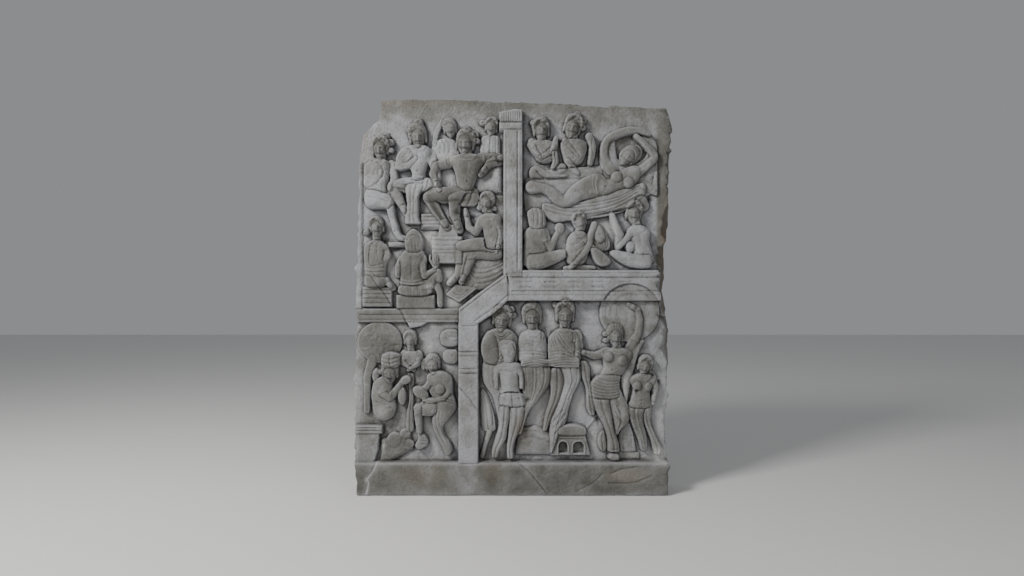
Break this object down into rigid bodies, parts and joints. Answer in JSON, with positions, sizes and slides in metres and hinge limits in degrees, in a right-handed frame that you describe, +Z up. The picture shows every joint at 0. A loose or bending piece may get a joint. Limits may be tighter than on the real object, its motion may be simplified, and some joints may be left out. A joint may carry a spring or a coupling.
{
  "type": "carved stone relief panel",
  "caption": "Upright rectangular slab carved in deep relief with crowded figure scenes, framed by flat bands and pillars over a plain plinth, with broken edges",
  "frame": {"origin": "on the flat underside, midway across the panel's full width and midway through the thickness behind the sunk ground", "axes": "+Z up the panel, +X to the viewer's right, -Y out of the carved face, +Y out of the flat back"},
  "size_m": [0.9674, 0.1303, 1.186],
  "materials": {
    "stone": "weathered, matt, with dark grime in the grooves"
  },
  "bodies": {
    "root": {"relief_panel": "stone"}
  },
  "joints": []
}
